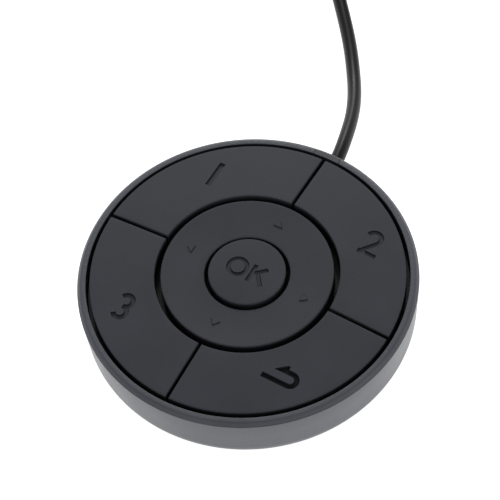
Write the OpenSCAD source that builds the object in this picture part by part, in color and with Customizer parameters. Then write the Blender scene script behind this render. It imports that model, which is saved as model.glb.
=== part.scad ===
// Round wired control puck: four quarter keys, a tilting ring and a centre button over a rubber dome keypad.
// Millimetres. The origin is on the table under the middle of the puck, +Z is up, +Y points to the cord outlet.

/* [Case] */
// Outer diameter along the line under the rim
puck_d = 76; // [70:1:100]
// Height of the line under the rim above the table
case_h = 15; // [14.2:0.1:20]
// Lean of the side wall from upright, in degrees
side_lean = 4; // [0:0.5:8]
// Thickness of the side wall
wall = 1.4; // [1.2:0.1:2]
// Thickness of the case floor
floor_t = 1.6; // [1.4:0.1:2.4]
// Radius of the rounded lower edge of the case
edge_r = 5; // [3:0.1:6]
// Width of the rim seen from above
rim_w = 2; // [1.6:0.1:3]
// Rise of the rim above the line under it
rim_h = 0.9; // [0.5:0.1:1.5]
// Width of the slope round the outside of the rim
rim_slope = 0.8; // [0.4:0.05:1.1]
// Thickness of the rim's skirt inside the wall
skirt_t = 0.6; // [0.5:0.05:0.8]
// Depth of the skirt below the line under the rim
skirt_h = 3.3; // [2.5:0.1:4]
// Width of the cord outlet block in the wall
outlet_w = 6.2; // [5:0.1:9]

/* [Foot] */
// Height that the rubber foot ring lifts the case
foot_show = 0.6; // [0.3:0.1:1]
// Depth of the groove that holds the foot ring
foot_groove = 0.6; // [0.3:0.1:0.8]
// Distance of the foot ring from the rounded lower edge
foot_inset = 0.8; // [0.5:0.1:2]
// Radial width of the foot ring
foot_w = 6; // [4.6:0.1:8]

/* [Keys and button] */
// Gap between the keys and the rim
key_gap = 0.9; // [0.5:0.05:1.2]
// Gap between neighbouring quarter keys
split_gap = 0.8; // [0.4:0.05:1.2]
// Gap between the tilting ring and the keys
ring_gap = 1.4; // [0.9:0.05:1.8]
// Gap between the centre button and the tilting ring
ok_gap = 0.9; // [0.6:0.05:1.2]
// Diameter of the centre button
ok_d = 17.2; // [14:0.1:19]
// Radial width of the tilting ring
ring_w = 9.7; // [9.5:0.1:11]
// Height of the keys' outer edge over the rim
key_proud = 0.4; // [0:0.1:1]
// Radius of the shallow dome over the keys
crown_r = 360; // [200:5:900]
// Depth of the dish in the tilting ring
ring_dish = 0.4; // [0:0.05:0.5]
// Height of the centre button over the ring's inner edge
ok_proud = 0.85; // [0.3:0.05:1.2]
// Thickness of the key, ring and button tops
cap_t = 1.6; // [1.2:0.1:1.8]
// Thickness of the key and button side walls
cap_wall = 1.1; // [0.9:0.1:1.3]
// Size of the broken edge round the caps
cap_edge = 0.25; // [0.1:0.05:0.4]
// Travel of the keys and the centre button
key_travel = 0.8; // [0.4:0.1:0.8]
// Tilt of the ring each way, in degrees
ring_tilt = 2; // [1:0.5:2]

/* [Carrier] */
// Thickness of the key carrier plate
frame_t = 1.4; // [1.2:0.1:1.8]
// Diameter of the guide posts under the keys
post_d = 3; // [2.4:0.1:3.4]
// Diameter of the pushers under the keys and the ring
pusher_d = 3; // [2.4:0.1:3.4]
// Diameter of the stem under the centre button
stem_d = 6; // [5:0.1:7]
// Diameter of the gimbal ring's stub axles
axle_d = 1.6; // [1.2:0.1:1.8]
// Height of the gimbal ring
gimbal_h = 2.2; // [2:0.1:2.4]
// Radial width of the gimbal ring
gimbal_w = 1.8; // [1.5:0.1:2]
// Thickness of the axle lugs, along the axle
lug_t = 1.6; // [1.4:0.1:1.8]
// Width of the axle lugs
lug_w = 3.6; // [3:0.1:4.5]

/* [Circuit] */
// Space between the circuit board and the side wall
board_room = 2.2; // [1.6:0.1:2.6]
// Thickness of the circuit board
board_t = 1.2; // [1:0.1:1.6]
// Space between the circuit board and the carrier plate
carrier_gap = 3.8; // [3.7:0.1:4]
// Thickness of the keypad sheet
sheet_t = 0.6; // [0.4:0.1:0.8]
// Diameter of a keypad dome at its foot
dome_d = 6.8; // [6:0.1:7.2]
// Height of a keypad dome above the circuit board
dome_h = 3; // [2.6:0.1:3.2]
// Diameter of the case screws
screw_d = 2; // [1.6:0.1:2.4]
// Diameter of the case screw heads
screw_head_d = 4; // [3.4:0.1:4.4]

/* [Cord] */
// Diameter of the cord
cord_d = 3.3; // [2.8:0.1:3.6]
// Height of the cord's middle above the circuit board where it leaves the case
exit_rise = 2; // [1.8:0.1:2.2]
// Step between neighbouring loops of the coil
loop_step = 4; // [3.9:0.1:5]
// Radius of the coil's innermost loop
loop_in_r = 10.5; // [9:0.5:14]
// Number of loops in the lower layer of the coil
loops = 4; // [2:1:6]
// Length of the moulded grip of the plug
grip_l = 18; // [14:1:24]
// Width of the metal shell of the plug
shell_w = 6.8; // [6:0.1:9]

/* [Hidden] */
$fn = 96;
// Small named clearances
fit = 0.15;
slide = 0.1;
axle_play = 0.05;
seat_gap = 0.1;
swing = 0.35;
bite = 0.4;

// Case heights and radii
puck_r = puck_d / 2;
base_z = foot_show;
floor_top = base_z + floor_t;
rim_top = case_h + rim_h;
rim_in_r = puck_r - rim_w;
skirt_z = case_h - skirt_h;
skirt_out_r = rim_in_r + skirt_t;
function side_r(z) = puck_r - (case_h - z) * tan(side_lean);
function inner_r(z) = side_r(z) - wall / cos(side_lean);
// Middle of the lower edge's arc, which runs on into the leaning wall
corner_z = base_z + edge_r;
corner_r = side_r(corner_z - edge_r * sin(side_lean)) - edge_r * cos(side_lean);
corner_steps = 8;
// Points along that arc, or one inside it, from an angle below level up to the wall
function corner_arc(r, low) =
    [for (k = [corner_steps : -1 : 0]) let (a = side_lean + (low - side_lean) * k / corner_steps)
        [corner_r + r * cos(a), corner_z - r * sin(a)]];

// Key, ring and button radii and heights
key_out_r = rim_in_r - key_gap;
ok_r = ok_d / 2;
ring_in_r = ok_r + ok_gap;
ring_out_r = ring_in_r + ring_w;
key_in_r = ring_out_r + ring_gap;
key_edge_z = rim_top + key_proud;
function crown_z(r) = key_edge_z + sqrt(crown_r * crown_r - r * r) - sqrt(crown_r * crown_r - key_out_r * key_out_r);
ring_edge_z = crown_z(ring_out_r);
ring_inner_z = ring_edge_z - ring_dish;
function dish_z(r) = ring_inner_z + ring_dish * pow((r - ring_in_r) / ring_w, 2);
ok_edge_z = ring_inner_z + ok_proud;
function ok_z(r) = ok_edge_z + (ok_r * ok_r - r * r) / crown_r;
curve_steps = 6;

// Carrier plate and what stands on it
frame_top = skirt_z;
frame_z = frame_top - frame_t;
frame_r = min(inner_r(frame_z), rim_in_r) - fit;
cap_skirt_z = frame_top + key_travel + bite;
key_circle = (key_in_r + key_out_r) / 2;
post_spread = 22;
post_head = 0.4;
head_h = 0.6;
hole_room = 0.8;

// Tilting ring and gimbal
gimbal_in_r = ring_in_r + cap_wall;
gimbal_out_r = gimbal_in_r + gimbal_w;
gimbal_z = frame_top + gimbal_out_r * sin(ring_tilt) + swing;
axle_z = gimbal_z + gimbal_h / 2;
lug_in_r = gimbal_out_r + bite;
lug_out_r = lug_in_r + lug_t;
ring_under_z = gimbal_z + gimbal_h + lug_out_r * sin(ring_tilt) + slide;
ring_lug_z = frame_top + lug_out_r * sin(ring_tilt) + slide;
ring_circle = lug_out_r + pusher_d / 2 + hole_room + swing;
ring_skirt_z = frame_top + ring_out_r * sin(ring_tilt) + swing;
stub_end_r = lug_out_r - seat_gap;

// Circuit board, keypad and screws
board_top = frame_z - carrier_gap;
board_z = board_top - board_t;
board_r = inner_r(board_z) - board_room;
sheet_top = board_top + sheet_t;
dome_top = board_top + dome_h;
pusher_z = dome_top + slide;
foot_out_r = corner_r - foot_inset;
foot_in_r = foot_out_r - foot_w;
screw_circle = (foot_in_r + foot_out_r) / 2;
boss_wall = 1;
boss_r = screw_head_d / 2 + boss_wall;
sheet_clear = 0.2;
boss_top = sheet_top + sheet_clear;
screw_turns = [0, 180, 270];
head_t = 1.2;
head_sink = 0.2;
screw_seat_z = base_z + foot_groove + head_sink + head_t;
key_turns = [0, 90, 180, 270];

// Inner end of the cord: board socket, crimped plug and wires
exit_z = board_top + exit_rise;
flange_t = 1.5;
flange_back = 1.1;
flange_y = rim_in_r - flange_back - flange_t;
flange_lip = 1.5;
flange_w = outlet_w + 2 * flange_lip;
flange_z = sheet_top + sheet_clear;
flange_top = frame_z - fit;
wire_d = 0.9;
wire_gap = 1.6;
wire_l = 2.4;
crimp_size = [7.6, 3, 2.8];
crimp_y = flange_y - wire_l - crimp_size[1];
socket_room = 0.5;
socket_size = [9, 4, carrier_gap - socket_room];
socket_y = crimp_y - socket_size[1];
rest_gap = 8;
collar_wall = 1;
collar_d = cord_d + 2 * collar_wall;
collar_end = puck_r - seat_gap;
outlet_z = exit_z - collar_d / 2 - swing;

// Route of the cord from the outlet to the coil: sideways, out from the case, and the share of its fall still to go
cord_r = cord_d / 2;
lay_z = cord_r + fit;
route_steps = [
    [0, 3.2, 1], [-0.4, 7, 0.955], [-1.8, 11, 0.82], [-3.6, 15.5, 0.61], [-5.8, 20.5, 0.375], [-8.4, 26, 0.165],
    [-11.4, 31, 0.045], [-15, 36.5, 0], [-19.6, 42.5, 0], [-25, 49, 0], [-31, 56, 0.03], [-37, 63, 0.075]
];
route = [for (p = route_steps) [p[0], puck_r + p[1], lay_z + (exit_z - lay_z) * p[2]]];

// Coil of the rest of the cord
coil_mid = [-22.5, puck_r + 87];
coil_start_a = 220;
coil_end_a = 90;
loop_rings = 24;
tie_t = 0.6;
layer_gap = 0.5;
layer_1_z = cord_r + tie_t + 0.2;
layer_2_z = layer_1_z + cord_d + layer_gap;
loop_out_r = loop_in_r + loops * loop_step;
climb_turn = 0.5;
in_turn = loops * 360;
out_turn = 360 * (loops - 1) + (coil_start_a - coil_end_a - climb_turn * 360 + 720) % 360;
coil_turn = in_turn + climb_turn * 360 + out_turn;
// Radius and height of the coil's middle line after a turn of t degrees
function coil_r(t) =
    t < in_turn + climb_turn * 180 ? loop_out_r - loop_step * t / 360 :
    loop_in_r + loop_step * (t - in_turn - climb_turn * 360) / 360;
function coil_z(t) =
    let (s = min(1, max(0, (t - in_turn) / (climb_turn * 360))))
    layer_1_z + (layer_2_z - layer_1_z) * (1 - cos(180 * s)) / 2;
function coil_point(t) =
    let (a = coil_start_a - t)
    [coil_mid[0] + coil_r(t) * cos(a), coil_mid[1] + coil_r(t) * sin(a), coil_z(t)];
coil_head = coil_point(0) - cord_d * [sin(coil_start_a), -cos(coil_start_a), 0];
coil_exit = coil_point(coil_turn);
plug_z = 3.6;
tail_run = 6;
tail_drop = 14;
plug_x = coil_exit[0] + tail_run + tail_drop + cord_d;
coil_steps = round(coil_turn / 360 * loop_rings);
coil_points = concat(
    [coil_head],
    [for (k = [0 : coil_steps]) coil_point(coil_turn * k / coil_steps)],
    [for (k = [0 : 4]) coil_exit + [tail_run + tail_drop * k / 4, 0, (plug_z - coil_exit[2]) * (1 - cos(45 * k)) / 2]],
    [[plug_x, coil_exit[1], plug_z]]
);
cord_points = concat([[0, collar_end, exit_z]], route, [coil_head]);

// Least gap between loops of the coil, measured on the points of its middle line
loop_skip = loop_rings / 2;
loop_gap = min([
    for (i = [0 : len(coil_points) - 1 - loop_skip])
        for (j = [i + loop_skip : len(coil_points) - 1]) norm(coil_points[i] - coil_points[j])
]) - cord_d;
function run_length(p) = [for (i = [1 : len(p) - 1]) norm(p[i] - p[i - 1])] * [for (i = [1 : len(p) - 1]) 1];
echo(coil_gap = loop_gap, cord_length = run_length(cord_points) + run_length(coil_points));

// Helpers

// Outer form of the closed case, from the lower edge to the top of the rim
module envelope() {
    rotate_extrude()
        polygon(concat(
            [[0, base_z]],
            corner_arc(edge_r, 90),
            [[puck_r, case_h], [puck_r - rim_slope, rim_top], [0, rim_top]]
        ));
}

// Slab through the wall at the cord outlet, grown by a margin on its free sides
module outlet_slab(margin) {
    translate([-outlet_w / 2 - margin, flange_y + flange_t, outlet_z - margin])
        cube([outlet_w + 2 * margin, puck_r, rim_top]);
}

// Puts its children at each case screw
module at_screws() {
    for (a = screw_turns)
        rotate(a)
            translate([screw_circle, 0, 0])
                children();
}

// Ring between two radii and two heights
module tube(in_r, out_r, z0, z1) {
    rotate_extrude()
        polygon([[in_r, z0], [out_r, z0], [out_r, z1], [in_r, z1]]);
}

// Round post between two heights
module post(r, z0, z1) {
    translate([0, 0, z0])
        cylinder(r = r, h = z1 - z0);
}

// Round rod along +X from one radius to another, at the axle height
module axle_rod(r, from, to) {
    translate([from, 0, axle_z])
        rotate([0, 90, 0])
            cylinder(r = r, h = to - from);
}

// First quadrant, set back from both splits
module quadrant(inset) {
    back = split_gap / 2 + inset;
    translate([back, back, 0])
        cube([puck_r, puck_r, 3 * case_h]);
}

// Tube swept along points, with a ring of sides at each point
module sweep(points, r, sides) {
    last = len(points) - 1;
    function heading(i) =
        let (d = points[min(i + 1, last)] - points[max(i - 1, 0)])
        d / norm(d);
    function ring_at(i) =
        let (t = heading(i), s = cross(t, [0, 0, 1]) / norm(cross(t, [0, 0, 1])), u = cross(s, t))
        [for (k = [0 : sides - 1]) points[i] + r * cos(360 * k / sides) * s + r * sin(360 * k / sides) * u];
    verts = [for (i = [0 : last]) each ring_at(i)];
    walls = [
        for (i = [0 : last - 1])
            for (k = [0 : sides - 1])
                let (a = i * sides + k, b = i * sides + (k + 1) % sides)
                each [[a, a + sides, b], [b, a + sides, b + sides]]
    ];
    caps = [
        for (k = [1 : sides - 2])
            each [[0, k, k + 1], [last * sides, last * sides + k + 1, last * sides + k]]
    ];
    polyhedron(verts, concat(walls, caps));
}

// Case

module base_shell() {
    inner_edge_r = edge_r - wall;
    color([0.2, 0.2, 0.22])
        difference() {
            union() {
                difference() {
                    envelope();
                    rotate_extrude()
                        polygon(concat(
                            [[0, floor_top]],
                            corner_arc(inner_edge_r, asin(min(1, (corner_z - floor_top) / inner_edge_r))),
                            [[inner_r(skirt_z), skirt_z], [skirt_out_r + slide, skirt_z],
                             [skirt_out_r + slide, case_h], [puck_d, case_h], [puck_d, 2 * rim_top],
                             [0, 2 * rim_top]]
                        ));
                }
                at_screws() {
                    post(boss_r + boss_wall, base_z + foot_groove, board_z);
                    post(boss_r, base_z + foot_groove, boss_top);
                }
                // Two rests for the board beside the cord socket
                for (x = [-1, 1])
                    translate([x * (socket_size[0] / 2 + rest_gap), crimp_y, 0])
                        post(pusher_d / 2, base_z + floor_t / 2, board_z);
            }
            outlet_slab(fit);
            tube(foot_in_r - slide, foot_out_r + slide, 0, base_z + foot_groove);
            at_screws() {
                post(screw_head_d / 2 + slide, 0, screw_seat_z);
                post(screw_d / 2 + slide, 0, 2 * boss_top);
            }
        }
}

module rim_bezel() {
    color([0.25, 0.25, 0.27])
        difference() {
            rotate_extrude()
                polygon([
                    [rim_in_r, skirt_z], [skirt_out_r, skirt_z], [skirt_out_r, case_h], [puck_r, case_h],
                    [puck_r - rim_slope, rim_top], [rim_in_r + cap_edge, rim_top], [rim_in_r, rim_top - cap_edge]
                ]);
            outlet_slab(fit);
        }
}

module outlet_block() {
    color([0.24, 0.23, 0.23])
        union() {
            intersection() {
                envelope();
                difference() {
                    outlet_slab(0);
                    post(rim_in_r, flange_top, 2 * rim_top);
                }
            }
            translate([-flange_w / 2, flange_y, flange_z])
                cube([flange_w, flange_t, flange_top - flange_z]);
            translate([0, rim_in_r, exit_z])
                rotate([-90, 0, 0])
                    cylinder(d = collar_d, h = collar_end - rim_in_r);
        }
}

module foot_ring() {
    color([0.1, 0.1, 0.1])
        tube(foot_in_r, foot_out_r, 0, base_z + foot_groove);
}

module case_screws() {
    color("silver")
        at_screws() {
            post(screw_head_d / 2, screw_seat_z - head_t, screw_seat_z);
            post(screw_d / 2, screw_seat_z - head_t / 2, frame_top - bite - slide);
        }
}

// Carrier

module key_carrier() {
    color([0.16, 0.16, 0.17])
        difference() {
            union() {
                post(frame_r, frame_z, frame_top);
                at_screws() post(boss_r, boss_top, frame_top);
                // Upright lugs that the gimbal ring's outer axles turn in
                for (a = [0, 180])
                    rotate(a)
                        translate([lug_in_r, -lug_w / 2, frame_z])
                            cube([lug_t, lug_w, gimbal_z + gimbal_h - frame_z]);
            }
            at_screws() post(screw_d / 2 + axle_play, 0, frame_top - bite);
            for (a = [0, 180])
                rotate(a) axle_rod(axle_d / 2 + axle_play, gimbal_out_r, lug_out_r + 1);
            post(stem_d / 2 + slide, 0, 2 * rim_top);
            for (a = key_turns) {
                rotate(a)
                    translate([ring_circle, 0, 0])
                        post(pusher_d / 2 + hole_room, 0, 2 * frame_top);
                rotate(a + 45)
                    translate([key_circle, 0, 0])
                        post(pusher_d / 2 + hole_room, 0, 2 * frame_top);
                for (s = [-1, 1])
                    rotate(a + 45 + s * post_spread)
                        translate([key_circle, 0, 0])
                            post(post_d / 2 + slide, 0, 2 * frame_top);
            }
        }
}

// Keys and button

// One quarter key in the first quadrant: domed cap with walls, two snap posts and a pusher
module quarter_key() {
    top_in = key_in_r + cap_edge;
    top_out = key_out_r - cap_edge;
    crown = [for (k = [0 : curve_steps]) let (r = top_in + (top_out - top_in) * k / curve_steps) [r, crown_z(r)]];
    under_in = key_in_r + cap_wall;
    under_out = key_out_r - cap_wall;
    under = [
        for (k = [0 : curve_steps])
            let (r = under_in + (under_out - under_in) * k / curve_steps)
            [r, crown_z(r) - cap_t]
    ];
    difference() {
        intersection() {
            rotate_extrude()
                polygon(concat(
                    [[key_in_r, cap_skirt_z], [key_in_r, crown_z(key_in_r) - cap_edge]],
                    crown,
                    [[key_out_r, key_edge_z - cap_edge], [key_out_r, cap_skirt_z]]
                ));
            quadrant(0);
        }
        intersection() {
            rotate_extrude()
                polygon(concat([[under_in, 0]], under, [[under_out, 0]]));
            quadrant(cap_wall);
        }
    }
    rotate(45)
        translate([key_circle, 0, 0])
            post(pusher_d / 2, pusher_z, crown_z(key_circle) - cap_t / 2);
    for (s = [-1, 1])
        rotate(45 + s * post_spread)
            translate([key_circle, 0, 0]) {
                post(post_d / 2, frame_z - slide - head_h, crown_z(key_circle) - cap_t / 2);
                post(post_d / 2 + post_head, frame_z - slide - head_h, frame_z - slide);
            }
}

module key_1() {
    color([0.2, 0.2, 0.22])
        rotate(90) quarter_key();
}

module key_2() {
    color([0.2, 0.2, 0.22])
        quarter_key();
}

module key_3() {
    color([0.2, 0.2, 0.22])
        rotate(180) quarter_key();
}

module key_return() {
    color([0.2, 0.2, 0.22])
        rotate(270) quarter_key();
}

module ok_button() {
    dome = [for (k = [curve_steps : -1 : 0]) let (r = (ok_r - cap_edge) * k / curve_steps) [r, ok_z(r)]];
    color([0.2, 0.2, 0.22])
        union() {
            rotate_extrude()
                polygon(concat(
                    [[0, ok_edge_z - cap_t], [ok_r - cap_wall, ok_edge_z - cap_t], [ok_r - cap_wall, cap_skirt_z],
                     [ok_r, cap_skirt_z], [ok_r, ok_edge_z - cap_edge]],
                    dome
                ));
            post(stem_d / 2, pusher_z, ok_edge_z - cap_t / 2);
            post(stem_d / 2 + post_head, pusher_z, frame_z - slide);
        }
}

// Tilting ring

module tilt_ring() {
    top_in = ring_in_r + cap_edge;
    top_out = ring_out_r - cap_edge;
    dish = [for (k = [0 : curve_steps]) let (r = top_in + (top_out - top_in) * k / curve_steps) [r, dish_z(r)]];
    color([0.2, 0.2, 0.22])
        difference() {
            union() {
                rotate_extrude()
                    polygon(concat(
                        [[ring_in_r, ring_under_z], [ring_in_r, ring_inner_z - cap_edge]],
                        dish,
                        [[ring_out_r, ring_edge_z - cap_edge], [ring_out_r, ring_skirt_z],
                         [ring_out_r - cap_wall, ring_skirt_z], [ring_out_r - cap_wall, ring_under_z]]
                    ));
                for (a = key_turns)
                    rotate(a)
                        translate([ring_circle, 0, 0])
                            post(pusher_d / 2, pusher_z, ring_under_z + bite);
                // Hanging lugs that turn on the gimbal ring's other axles
                for (a = [90, 270])
                    rotate(a)
                        translate([lug_in_r, -lug_w / 2, ring_lug_z])
                            cube([lug_t, lug_w, ring_under_z + bite - ring_lug_z]);
            }
            for (a = [90, 270])
                rotate(a) axle_rod(axle_d / 2 + axle_play, gimbal_out_r, lug_out_r);
        }
}

module gimbal_ring() {
    color([0.75, 0.75, 0.72])
        union() {
            tube(gimbal_in_r, gimbal_out_r, gimbal_z, gimbal_z + gimbal_h);
            for (a = key_turns)
                rotate(a) axle_rod(axle_d / 2, gimbal_out_r - gimbal_w / 2, stub_end_r);
        }
}

// Circuit and keypad

module circuit_board() {
    color([0.1, 0.35, 0.18])
        difference() {
            post(board_r, board_z, board_top);
            at_screws() post(boss_r + fit, 0, 2 * board_top);
        }
}

module controller_chip() {
    chip = [7, 7, 1];
    color([0.08, 0.08, 0.08])
        translate([-chip[0] / 2, -chip[1] / 2, board_z - chip[2]])
            cube(chip);
}

module cord_socket() {
    color("ivory")
        translate([-socket_size[0] / 2, socket_y, board_top])
            cube(socket_size);
}

module crimp_plug() {
    color("ivory")
        translate([-crimp_size[0] / 2, crimp_y, exit_z - crimp_size[2] / 2])
            cube(crimp_size);
}

module lead_wires() {
    wire_y = crimp_y + crimp_size[1];
    color("firebrick")
        for (k = [-1.5 : 1 : 1.5])
            translate([k * wire_gap, wire_y, exit_z])
                rotate([-90, 0, 0])
                    cylinder(d = wire_d, h = wire_l);
}

// Place of each dome: under the keys, the ring's four pushers and the button's stem
module at_key(turn) {
    rotate(turn + 45)
        translate([key_circle, 0, 0])
            children();
}

module at_ring(turn) {
    rotate(turn)
        translate([ring_circle, 0, 0])
            children();
}

module keypad_sheet() {
    hole_r = dome_d / 2 + seat_gap;
    sheet_inset = 0.5;
    color([0.85, 0.85, 0.82])
        difference() {
            post(board_r - sheet_inset, board_top, sheet_top);
            at_screws() post(boss_r + fit, 0, 2 * sheet_top);
            post(hole_r, 0, 2 * sheet_top);
            for (a = key_turns) {
                at_key(a) post(hole_r, 0, 2 * sheet_top);
                at_ring(a) post(hole_r, 0, 2 * sheet_top);
            }
            translate([-socket_size[0] / 2 - fit, socket_y - fit, 0])
                cube([socket_size[0] + 2 * fit, puck_d, 2 * sheet_top]);
        }
}

// Hollow rubber dome with a contact pill under its crown
module key_dome() {
    foot_r = dome_d / 2;
    crown_w = dome_d / 3;
    skin = 0.8;
    pill_r = dome_d / 6;
    color([0.85, 0.85, 0.82])
        rotate_extrude()
            polygon([
                [foot_r - skin, board_top], [foot_r, board_top], [foot_r, sheet_top],
                [crown_w, dome_top - skin], [crown_w, dome_top], [0, dome_top],
                [0, board_top + key_travel], [pill_r, board_top + key_travel], [pill_r, dome_top - skin * 1.5],
                [crown_w - skin, dome_top - skin * 1.5], [foot_r - skin, sheet_top]
            ]);
}

module dome_key_1() { at_key(90) key_dome(); }
module dome_key_2() { at_key(0) key_dome(); }
module dome_key_3() { at_key(180) key_dome(); }
module dome_key_return() { at_key(270) key_dome(); }
module dome_up() { at_ring(90) key_dome(); }
module dome_down() { at_ring(270) key_dome(); }
module dome_left() { at_ring(180) key_dome(); }
module dome_right() { at_ring(0) key_dome(); }
module dome_ok() { key_dome(); }

// Cord, its coil, the tie and the plug

module cord() {
    color([0.06, 0.06, 0.06])
        sweep(cord_points, cord_r, 8);
}

module cord_coil() {
    color([0.06, 0.06, 0.06])
        sweep(coil_points, cord_r, 6);
}

// Flat band round all the loops on one side of the coil
module cord_tie() {
    tie_w = 6;
    tie_turn = 15;
    tie_room = 0.3;
    inner_edge = loop_in_r - loop_step / 4 - cord_r;
    in_x = sqrt(pow(inner_edge, 2) - pow(tie_w / 2, 2)) - tie_room;
    out_x = loop_out_r + cord_r + tie_room;
    top_z = layer_2_z + cord_r + tie_room;
    color([0.1, 0.1, 0.1])
        translate([coil_mid[0], coil_mid[1], 0])
            rotate(tie_turn)
                difference() {
                    translate([in_x - tie_t, -tie_w / 2, 0])
                        cube([out_x - in_x + 2 * tie_t, tie_w, top_z + tie_t]);
                    translate([in_x, -tie_w, tie_t])
                        cube([out_x - in_x, 2 * tie_w, top_z - tie_t]);
                }
}

module plug_grip() {
    grip_lip = 1.5;
    grip_w = shell_w + 2 * grip_lip;
    grip_h = 2 * plug_z;
    neck = 5;
    color([0.08, 0.08, 0.08])
        translate([plug_x, coil_exit[1], plug_z])
            rotate([0, 90, 0])
                hull() {
                    cylinder(d = cord_d + 1.2, h = 0.5, $fn = 32);
                    for (y = [-1, 1])
                        for (z = [-1, 1])
                            translate([z * (grip_h / 2 - 1), y * (grip_w / 2 - 1), neck])
                                cylinder(r = 1, h = grip_l - neck, $fn = 32);
                }
}

module plug_shell() {
    shell_l = 7;
    shell_h = 3;
    shell_wall = 0.4;
    color("silver")
        translate([plug_x + grip_l, coil_exit[1], plug_z])
            difference() {
                translate([0, -shell_w / 2, -shell_h / 2])
                    cube([shell_l, shell_w, shell_h]);
                translate([1, -shell_w / 2 + shell_wall, -shell_h / 2 + shell_wall])
                    cube([shell_l, shell_w - 2 * shell_wall, shell_h - 2 * shell_wall]);
            }
}

base_shell();
rim_bezel();
outlet_block();
foot_ring();
key_carrier();
circuit_board();
controller_chip();
cord_socket();
crimp_plug();
lead_wires();
keypad_sheet();
dome_key_1();
dome_key_2();
dome_key_3();
dome_key_return();
dome_up();
dome_down();
dome_left();
dome_right();
dome_ok();
case_screws();
key_1();
key_2();
key_3();
key_return();
tilt_ring();
gimbal_ring();
ok_button();
cord();
cord_coil();
cord_tie();
plug_grip();
plug_shell();
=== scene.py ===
import math

import bpy
import numpy as np
from mathutils import Matrix, Vector


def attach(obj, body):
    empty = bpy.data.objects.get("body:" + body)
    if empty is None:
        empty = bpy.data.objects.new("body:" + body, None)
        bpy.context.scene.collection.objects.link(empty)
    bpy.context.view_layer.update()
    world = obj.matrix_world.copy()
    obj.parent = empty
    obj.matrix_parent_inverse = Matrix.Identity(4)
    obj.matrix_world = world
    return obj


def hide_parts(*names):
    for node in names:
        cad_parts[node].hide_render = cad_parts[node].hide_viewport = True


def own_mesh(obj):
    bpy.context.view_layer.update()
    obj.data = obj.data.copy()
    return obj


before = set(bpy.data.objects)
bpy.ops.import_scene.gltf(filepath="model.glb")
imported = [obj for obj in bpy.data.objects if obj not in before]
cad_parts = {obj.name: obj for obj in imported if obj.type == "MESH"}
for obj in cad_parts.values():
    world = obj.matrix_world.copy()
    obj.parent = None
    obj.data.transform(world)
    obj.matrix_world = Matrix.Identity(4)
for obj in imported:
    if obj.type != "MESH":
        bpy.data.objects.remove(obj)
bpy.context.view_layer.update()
scene = bpy.context.scene
scene.view_settings.view_transform = "Standard"
print("puck: frame loaded with", len(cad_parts), "nodes")

# All sizes below are millimetres in the frame of the model; meshes are written in metres.
mm = 0.001

photoCamera = {
    "azimuth": 35.4, "elevation": 56.926, "distance": 618.9, "aim": (0, 0, 16.3),
    "pan": 0.115, "tilt": -0.509, "roll": 6.747, "lens": 201.6, "sensor": 36, "clip": (20, 20000),
}


def placeCamera(view):
    # stands off the aim point by azimuth and elevation, then tilts, pans and rolls about its own axes
    a, e = math.radians(view["azimuth"]), math.radians(view["elevation"])
    back = Vector((math.sin(a) * math.cos(e), -math.cos(a) * math.cos(e), math.sin(e)))
    right = Vector((math.cos(a), math.sin(a), 0))
    level = Matrix((right, back.cross(right), back))
    tilt, pan, roll = [Matrix.Rotation(math.radians(view[way]), 3, axis)
                       for way, axis in (("tilt", "X"), ("pan", "Y"), ("roll", "Z"))]
    turn = roll @ (pan @ tilt) @ level
    lens = bpy.data.cameras.new("photoCamera")
    lens.lens, lens.sensor_width = view["lens"], view["sensor"]
    lens.clip_start, lens.clip_end = [mm * reach for reach in view["clip"]]
    camera = bpy.data.objects.new("photoCamera", lens)
    place = (Vector(view["aim"]) + view["distance"] * back) * mm
    camera.matrix_world = Matrix.Translation(place) @ turn.transposed().to_4x4()
    scene.collection.objects.link(camera)
    scene.camera = camera


placeCamera(photoCamera)
print("puck: camera placed")


# Finishes

def linear(red, green, blue):
    # screen values from 0 to 255 as linear colour
    c = np.array([red, green, blue]) / 255
    return (*np.where(c <= 0.04045, c / 12.92, ((c + 0.055) / 1.055) ** 2.4), 1)


def scaled(colour, factor):
    # linear colour made darker or lighter, by one factor or by one for each channel
    return tuple(np.array(colour[:3]) * factor) + (1,)


class Nodes:
    # a node tree under construction

    def __init__(self, tree):
        self.tree = tree

    def add(self, kind, inputs=None, **settings):
        node = self.tree.nodes.new("ShaderNode" + kind)
        for key, value in settings.items():
            setattr(node, key, value)
        for key, value in (inputs or {}).items():
            self.put(value, node.inputs[key])
        return node

    def put(self, value, socket):
        if isinstance(value, bpy.types.NodeSocket):
            self.tree.links.new(value, socket)
        else:
            socket.default_value = value

    def spread(self, source, low, high, fromLow=0.3, fromHigh=0.7):
        # brings a value between two limits into another span
        values = {"Value": source, "From Min": fromLow, "From Max": fromHigh, "To Min": low, "To Max": high}
        return self.add("MapRange", values).outputs[0]


class Finish(Nodes):
    # the nodes of a new material, with its shader

    def __init__(self, name):
        self.material = bpy.data.materials.new(name)
        self.material.use_nodes = True
        super().__init__(self.material.node_tree)
        self.shader = self.tree.nodes["Principled BSDF"]

    def shade(self, **sockets):
        for key, value in sockets.items():
            self.put(value, self.shader.inputs[key.replace("_", " ")])

    def place(self):
        return self.add("TexCoord").outputs["Object"]

    def noise(self, size, detail=3, stretch=None):
        # noise with lumps of about this size, longer along an axis where stretch says so
        where = self.place()
        if stretch:
            where = self.add("Mapping", {"Vector": where, "Scale": stretch}).outputs[0]
        inputs = {"Vector": where, "Scale": 1 / (size * mm), "Detail": detail}
        return self.add("TexNoise", inputs).outputs["Fac"]

    def mix(self, share, one, two):
        node = self.add("Mix", data_type="RGBA")
        for value, socket in zip((share, one, two), (node.inputs[0], node.inputs[6], node.inputs[7])):
            self.put(value, socket)
        return node.outputs[2]

    def bump(self, height, depth, below=None):
        inputs = {"Height": height, "Strength": 1.0, "Distance": depth * mm}
        if below:
            inputs["Normal"] = below
        return self.add("Bump", inputs).outputs[0]


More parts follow.
